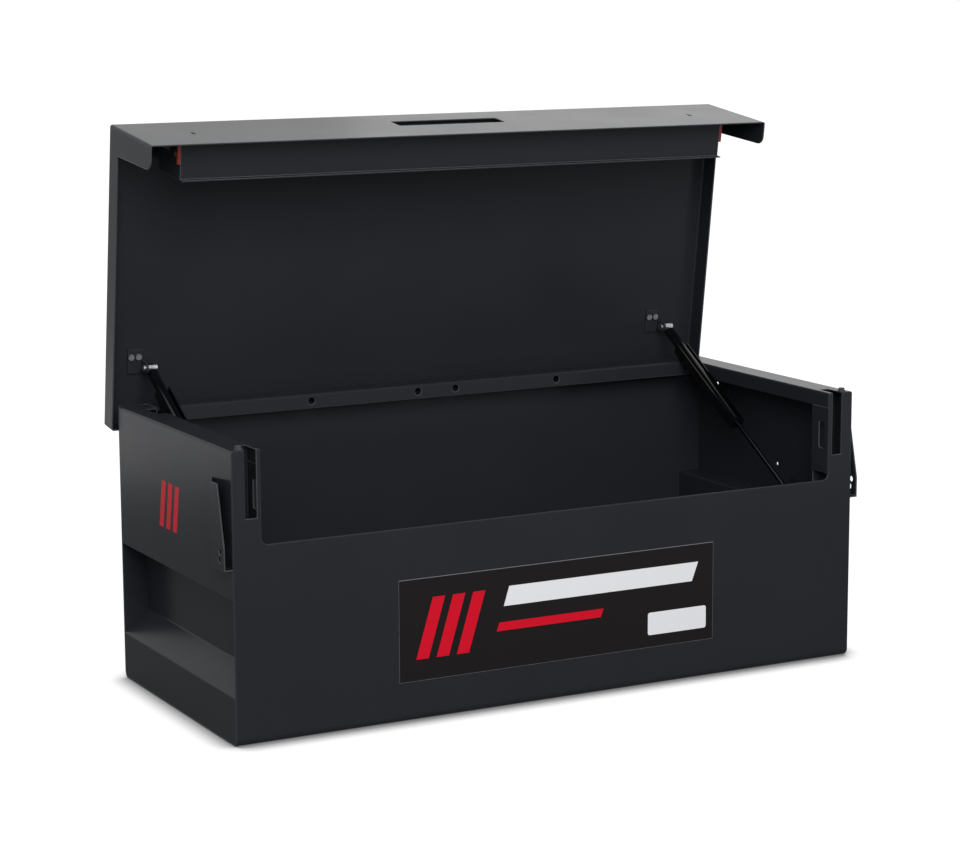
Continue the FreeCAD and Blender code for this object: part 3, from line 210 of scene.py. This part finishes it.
# deep red plastic with a soft highlight along its edge
RED_NYLON, nylon_tree, nylon_shader, nylon_place = new_finish("moulded_red_nylon", Roughness=0.3,
                                                              Specular_IOR_Level=0.4)
nylon_grain = add_node(nylon_tree, "ShaderNodeTexNoise", {"Vector": nylon_place, "Scale": 1000 / 1.5,
                                                          "Detail": 2.0})
nylon_colour = add_node(nylon_tree, "ShaderNodeMix", {"Factor": nylon_grain.outputs["Fac"],
                                                      "A": to_linear("#761111"), "B": to_linear("#8a1b18")},
                        data_type="RGBA")
nylon_tree.links.new(nylon_colour.outputs["Result"], nylon_shader.inputs["Base Color"])
nylon_bump = add_node(nylon_tree, "ShaderNodeBump", {"Height": nylon_grain.outputs["Fac"], "Strength": 0.1,
                                                     "Distance": 0.0003})
nylon_tree.links.new(nylon_bump.outputs["Normal"], nylon_shader.inputs["Normal"])
dress(RED_NYLON, *both_ends("guide_pad"))


# ---------------------------------------------------------------- gas struts
# Gas springs between the lid and the shelves over the recesses: black-painted cylinder in a folded channel
# shroud, ground and nitrided rod with an eye, plated studs and bolts, and stamped brackets: the upper ones
# painted with the lid, the lower ones black.
# The upper pivot and the radius of the bare eye around it, in the rest pose, metres.
UPPER_PIVOT = (0.0, 0.25442, 0.51662)
EYE_RADIUS = 0.0115
# black stove enamel with one narrow bright line down its length, and a bare plated eye
GLOSS_BLACK, strut_tree, strut_shader, strut_place = new_finish("gloss_black_paint", Specular_IOR_Level=0.35)
strut_drift = add_node(strut_tree, "ShaderNodeTexNoise", {"Vector": strut_place, "Scale": 1000 / 30,
                                                          "Detail": 2.0})
strut_parts = add_node(strut_tree, "ShaderNodeSeparateXYZ", {"Vector": strut_place})
strut_off = add_node(strut_tree, "ShaderNodeCombineXYZ", {"X": 0.0, "Y": strut_parts.outputs["Y"],
                                                          "Z": strut_parts.outputs["Z"]})
strut_reach = add_node(strut_tree, "ShaderNodeVectorMath", {0: strut_off.outputs["Vector"], 1: UPPER_PIVOT},
                       operation="DISTANCE")
strut_eye = add_node(strut_tree, "ShaderNodeMapRange", {"Value": strut_reach.outputs["Value"],
                                                        "From Min": EYE_RADIUS,
                                                        "From Max": EYE_RADIUS + 0.002, "To Min": 1.0,
                                                        "To Max": 0.0})
strut_paint = add_node(strut_tree, "ShaderNodeMix", {"Factor": strut_drift.outputs["Fac"],
                                                     "A": to_linear("#060708"), "B": to_linear("#0d0e0f")},
                       data_type="RGBA")
strut_colour = add_node(strut_tree, "ShaderNodeMix", {"Factor": strut_eye.outputs["Result"],
                                                      "A": strut_paint.outputs["Result"],
                                                      "B": to_linear("#a2a4a7")}, data_type="RGBA")
strut_tree.links.new(strut_colour.outputs["Result"], strut_shader.inputs["Base Color"])
strut_tree.links.new(strut_eye.outputs["Result"], strut_shader.inputs["Metallic"])
strut_gloss = add_node(strut_tree, "ShaderNodeMapRange", {"Value": strut_drift.outputs["Fac"], "To Min": 0.14,
                                                          "To Max": 0.24})
strut_tree.links.new(strut_gloss.outputs["Result"], strut_shader.inputs["Roughness"])
dress(GLOSS_BLACK, *both_ends("strut_cylinder", "strut_shroud"))

# a dark ground rod that shows as a thin grey line
DARK_ROD = plated_steel("nitrided_rod_steel", "#2c2e30", "#434548", roughness=0.2, grain_mm=0.6)
dress(DARK_ROD, *both_ends("strut_rod"))
# the plates melt into the lid, with only a faint painted edge highlight; their studs and bolts stand out
# bright
PAINTED_STEEL = powder_coat("painted_bracket_steel", "#24262a", "#2e3034", edge_highlight=0.15)
dress(PAINTED_STEEL, *both_ends("upper_bracket"))
dress(BLACK_OXIDE, *both_ends("lower_bracket"))
dress(BRIGHT_ZINC, *both_ends("upper_stud", "rod_bolt", "lower_spacer"))
DULL_ZINC = plated_steel("dull_zinc_bolts", "#7b7d80", "#a3a5a8", roughness=0.42, grain_mm=1.2)
dress(DULL_ZINC, *both_ends("upper_bracket_bolts"))


# ---------------------------------------------------------------- front panel label
# A thin rectangle of black vinyl stuck across the middle of the front wall, with a pale keyline near its
# edge, drawn wide along the top as a painted highlight of the label's top edge, and plain printed blocks of
# red and white. It carries no words.
FRONT_FACE = min(corner[1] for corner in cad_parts["front_panel"].bound_box)
LABEL_CENTRE_Z = 0.147
LABEL_HALF = (0.292, 0.083)
# film and print are drawn equally thick, metres
FILM_THICKNESS = 0.00012


def printed_film(name, colour, roughness):
    """Screen-printed vinyl film: nearly flat, with a faint roll texture."""
    material, tree, shader, place = new_finish(name, Roughness=roughness, Specular_IOR_Level=0.12)
    film = add_node(tree, "ShaderNodeTexNoise", {"Vector": place, "Scale": 1000 / 3.0, "Detail": 2.0})
    dark = tuple(channel * 0.9 for channel in to_linear(colour)[:3]) + (1.0,)
    tint = add_node(tree, "ShaderNodeMix", {"Factor": film.outputs["Fac"], "A": dark, "B": to_linear(colour)},
                    data_type="RGBA")
    tree.links.new(tint.outputs["Result"], shader.inputs["Base Color"])
    bump = add_node(tree, "ShaderNodeBump", {"Height": film.outputs["Fac"], "Strength": 0.05,
                                             "Distance": 0.0002})
    tree.links.new(bump.outputs["Normal"], shader.inputs["Normal"])
    return material


def film_piece(name, outlines, face, material):
    """Flat film shapes with a real thickness on an end wall or on the front wall."""
    # outlines hold (across, up) corners; face maps them to the wall's plane and out from it
    mesh = bmesh.new()
    for outline in outlines:
        back, front = [[mesh.verts.new(face(across, up, out)) for across, up in outline]
                       for out in (0.0, FILM_THICKNESS)]
        mesh.faces.new(front)
        mesh.faces.new(list(reversed(back)))
        for index in range(len(outline)):
            following = (index + 1) % len(outline)
            mesh.faces.new((back[index], back[following], front[following], front[index]))
    data = bpy.data.meshes.new(name)
    mesh.to_mesh(data)
    mesh.free()
    data.materials.append(material)
    piece = bpy.data.objects.new(name, data)
    bpy.context.scene.collection.objects.link(piece)
    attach(piece, "box")
    return piece


def rounded(low, high, radius, steps=5):
    """Corners of a rectangle with rounded corners, anticlockwise."""
    corners = []
    centres = [(high[0] - radius, low[1] + radius), (high[0] - radius, high[1] - radius),
               (low[0] + radius, high[1] - radius), (low[0] + radius, low[1] + radius)]
    for quarter, centre in enumerate(centres):
        start = 90 * (quarter - 1)
        for step in range(steps + 1):
            angle = math.radians(start + 90 * step / steps)
            corners.append((centre[0] + radius * math.cos(angle), centre[1] + radius * math.sin(angle)))
    return corners


def bars(start, foot, top, width, gap, lean, count):
    """A row of equal bars that lean to the right."""
    shapes = []
    for index in range(count):
        left = start + index * (width + gap)
        shapes.append([(left, foot), (left + width, foot), (left + width + lean, top), (left + lean, top)])
    return shapes


def on_front(layer):
    """Places on the front wall, with film layers lying on one another."""
    base = FRONT_FACE - layer * FILM_THICKNESS
    return lambda across, up, out: Vector((across, base - out, LABEL_CENTRE_Z + up))


def keyline_with_top_highlight(half, inset, width):
    """A wide pale strip along the top edge as a painted highlight, and hair-thin printed strips down the
    sides and along the foot.
    """
    outer = (half[0] - inset, half[1] - inset)
    top = outer[1] - width
    hair = width / 3
    return [[(-outer[0], top), (outer[0], top), (outer[0], outer[1]), (-outer[0], outer[1])],
            [(-outer[0], -outer[1]), (outer[0], -outer[1]), (outer[0], hair - outer[1]),
             (-outer[0], hair - outer[1])],
            [(-outer[0], hair - outer[1]), (hair - outer[0], hair - outer[1]), (hair - outer[0], top),
             (-outer[0], top)],
            [(outer[0] - hair, hair - outer[1]), (outer[0], hair - outer[1]), (outer[0], top),
             (outer[0] - hair, top)]]


# satin black film under flat print: pale grey, red and white; the pale grey also draws a painted highlight
BLACK_VINYL = printed_film("black_vinyl_film", "#1c1919", roughness=0.38)
PALE_PRINT_AND_HIGHLIGHT = printed_film("pale_grey_print", "#787b7f", roughness=0.4)
RED_PRINT = printed_film("red_print", "#d8112a", roughness=0.4)
WHITE_PRINT = printed_film("white_print", "#f0f1f4", roughness=0.4)

film_piece("front_label", [rounded((-LABEL_HALF[0], -LABEL_HALF[1]), LABEL_HALF, radius=0.003)],
           on_front(0), BLACK_VINYL)
film_piece("front_label_keyline", keyline_with_top_highlight(LABEL_HALF, inset=0.0004, width=0.0011), on_front(1), PALE_PRINT_AND_HIGHLIGHT)
film_piece("front_label_red_bars",
           bars(start=-0.262, foot=-0.048, top=0.05, width=0.022, gap=0.014, lean=0.03, count=3),
           on_front(1), RED_PRINT)
film_piece("front_label_white_stripe", [[(-0.105, 0.02), (0.25, 0.02), (0.262, 0.052), (-0.095, 0.052)]],
           on_front(1), WHITE_PRINT)
film_piece("front_label_red_stripe", [[(-0.118, -0.02), (0.075, -0.02), (0.08, -0.006), (-0.113, -0.006)]],
           on_front(1), RED_PRINT)
film_piece("front_label_blank_plate", [rounded((0.165, -0.062), (0.278, -0.024), radius=0.004)],
           on_front(1), WHITE_PRINT)


# ---------------------------------------------------------------- end wall mark
# Three small red bars printed straight on the coat of the left end wall, in line with those of the front
# label. They hold by their own ink and carry no words.
LEFT_FACE = min(corner[0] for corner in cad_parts["left_side_panel"].bound_box)


def on_left(across, up, out):
    """Places on the left end wall; across runs from its back towards the front."""
    return Vector((LEFT_FACE - out, -across, up))


film_piece("side_red_bars",
           bars(start=-0.062, foot=0.292, top=0.368, width=0.017, gap=0.011, lean=0.014, count=3),
           on_left, RED_PRINT)


# ---------------------------------------------------------------- studio
# A pale paper floor under the box and a white room around it, one large soft lamp in front, a faint one
# behind, and the camera.
FLOOR_HALF = 30.0
floor_corners = [(-FLOOR_HALF, -FLOOR_HALF, 0), (FLOOR_HALF, -FLOOR_HALF, 0),
                 (FLOOR_HALF, FLOOR_HALF, 0), (-FLOOR_HALF, FLOOR_HALF, 0)]
floor_mesh = bpy.data.meshes.new("studio_floor")
floor_mesh.from_pydata(floor_corners, [], [(0, 1, 2, 3)])
studio_floor = bpy.data.objects.new("studio_floor", floor_mesh)
bpy.context.scene.collection.objects.link(studio_floor)
PAPER = bpy.data.materials.new("white_paper_floor")
PAPER.use_nodes = True
paper_tree = PAPER.node_tree
paper_shader = paper_tree.nodes["Principled BSDF"]
paper_shader.inputs["Base Color"].default_value = to_linear("#828282")
paper_shader.inputs["Roughness"].default_value = 0.9


def background_glow(tree, seen, mirrored, other):
    """Strength of a background: seen by the camera, mirrored in gloss or through glass, and as light."""
    rays = add_node(tree, "ShaderNodeLightPath")
    bounced = add_node(tree, "ShaderNodeMath", {0: rays.outputs["Is Glossy Ray"],
                                                1: rays.outputs["Is Transmission Ray"]}, operation="MAXIMUM")
    first = add_node(tree, "ShaderNodeMapRange", {"Value": bounced.outputs["Value"], "To Min": other,
                                                  "To Max": mirrored})
    glow = add_node(tree, "ShaderNodeMix", {"Factor": rays.outputs["Is Camera Ray"],
                                            "A": first.outputs["Result"], "B": seen})
    return glow.outputs["Result"]


# painted reflection: in gloss the paper's glow is dim close to the box, bright a few metres off and dimmer
# again far away, metres
DIM_WITHIN = 1.9
BRIGHT_FROM = 2.7
FADE_FROM = 3.2
FADE_TO = 4.6
paper_place = add_node(paper_tree, "ShaderNodeTexCoord").outputs["Object"]
paper_reach = add_node(paper_tree, "ShaderNodeVectorMath", {0: paper_place}, operation="LENGTH")
paper_rise = add_node(paper_tree, "ShaderNodeMapRange", {
    "Value": paper_reach.outputs["Value"], "From Min": DIM_WITHIN, "From Max": BRIGHT_FROM, "To Min": 0.05,
    "To Max": 1.05}, interpolation_type="SMOOTHSTEP")
# to the camera it glows white, with a narrow soft painted shadow at the foot of the box, dimmed by ambient
# occlusion
SHADOW_WIDTH = 0.05
paper_touch = add_node(paper_tree, "ShaderNodeAmbientOcclusion", {"Distance": SHADOW_WIDTH}, samples=8)
paper_shade = add_node(paper_tree, "ShaderNodeMapRange", {"Value": paper_touch.outputs["AO"], "From Min": 0.5,
                                                          "From Max": 0.95, "To Min": 0.1, "To Max": 0.91})
paper_fall = add_node(paper_tree, "ShaderNodeMapRange", {
    "Value": paper_reach.outputs["Value"], "From Min": FADE_FROM, "From Max": FADE_TO, "To Min": 1.0,
    "To Max": 0.42}, interpolation_type="SMOOTHSTEP")
paper_painted_reflection = add_node(paper_tree, "ShaderNodeMath", {0: paper_rise.outputs["Result"],
                                                    1: paper_fall.outputs["Result"]}, operation="MULTIPLY")
paper_glow = add_node(paper_tree, "ShaderNodeEmission", {
    "Color": (1.0, 1.0, 1.0, 1.0),
    "Strength": background_glow(paper_tree, paper_shade.outputs["Result"], paper_painted_reflection.outputs["Value"], 0.0)})
paper_sum = add_node(paper_tree, "ShaderNodeAddShader", {0: paper_shader.outputs["BSDF"],
                                                         1: paper_glow.outputs["Emission"]})
paper_tree.links.new(paper_sum.outputs["Shader"], paper_tree.nodes["Material Output"].inputs["Surface"])
floor_mesh.materials.append(PAPER)

world = bpy.data.worlds.new("studio")
bpy.context.scene.world = world
world.use_nodes = True
world_tree = world.node_tree
room_light = world_tree.nodes["Background"]
room_light.inputs["Color"].default_value = to_linear("#ffffff")
world_tree.links.new(background_glow(world_tree, 1.0, 1.0, 0.5), room_light.inputs["Strength"])


def soft_lamp(name, place, target, size, power):
    """A square soft box aimed at a point of the object."""
    lamp = bpy.data.lights.new(name, "AREA")
    lamp.size = size
    lamp.energy = power
    holder = bpy.data.objects.new(name, lamp)
    holder.location = place
    holder.rotation_euler = (Vector(target) - Vector(place)).to_track_quat("-Z", "Y").to_euler()
    bpy.context.scene.collection.objects.link(holder)


soft_lamp("glow_behind_right", (2.6, 3.7, 2.6), target=(0.3, 0.2, 0.9), size=1.8, power=4.5)
soft_lamp("fill_front_left", (-1.4, -4.0, 2.7), target=(0.0, 0.0, 0.3), size=3.0, power=158.0)

# where the camera stands, metres, and its three directions
CAMERA_PLACE = Vector((-2.09235712, -3.86522479, 1.18124121))
CAMERA_RIGHT = Vector((0.88089684, -0.47328845, -0.00433466))
CAMERA_UP = Vector((0.08504267, 0.1492612, 0.98513392))
CAMERA_FORWARD = Vector((0.46560551, 0.86816999, -0.17173344))
camera_data = bpy.data.cameras.new("camera")
camera_data.lens = 100.0
camera_data.sensor_width = 36.0
camera = bpy.data.objects.new("camera", camera_data)
camera_turn = Matrix((CAMERA_RIGHT, CAMERA_UP, -CAMERA_FORWARD)).transposed()
camera.matrix_world = Matrix.Translation(CAMERA_PLACE) @ camera_turn.to_4x4()
bpy.context.scene.collection.objects.link(camera)
bpy.context.scene.camera = camera
bpy.context.scene.view_settings.view_transform = "Standard"
